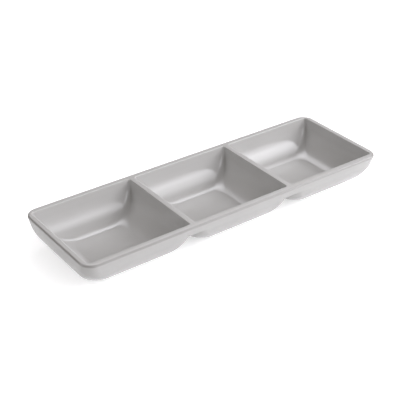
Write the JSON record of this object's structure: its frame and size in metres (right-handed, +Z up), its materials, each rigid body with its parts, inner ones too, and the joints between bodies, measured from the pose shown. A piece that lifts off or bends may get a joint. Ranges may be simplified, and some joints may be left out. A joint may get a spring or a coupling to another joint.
{
  "type": "divided serving bowl",
  "caption": "Long rectangular serving bowl with a row of equal square wells, low ridges between them, one continuous rounded rim and a shallow foot ring under each well.",
  "frame": {"origin": "on the table, under the middle of the tray", "axes": "+X along the tray's length, +Y across it towards the back of the pictured view, +Z up out of the wells"},
  "size_m": [0.38, 0.124, 0.038],
  "materials": {
    "glossy_melamine": "glossy, warm light grey, compression moulded",
    "rubbed_melamine": "the same grey, rubbed to a satin where it stands"
  },
  "bodies": {
    "root": {"rim": "glossy_melamine", "left_divider": "glossy_melamine", "right_divider": "glossy_melamine", "left_bowl": "glossy_melamine", "middle_bowl": "glossy_melamine", "right_bowl": "glossy_melamine", "left_foot_ring": "rubbed_melamine", "middle_foot_ring": "rubbed_melamine", "right_foot_ring": "rubbed_melamine"}
  },
  "joints": []
}
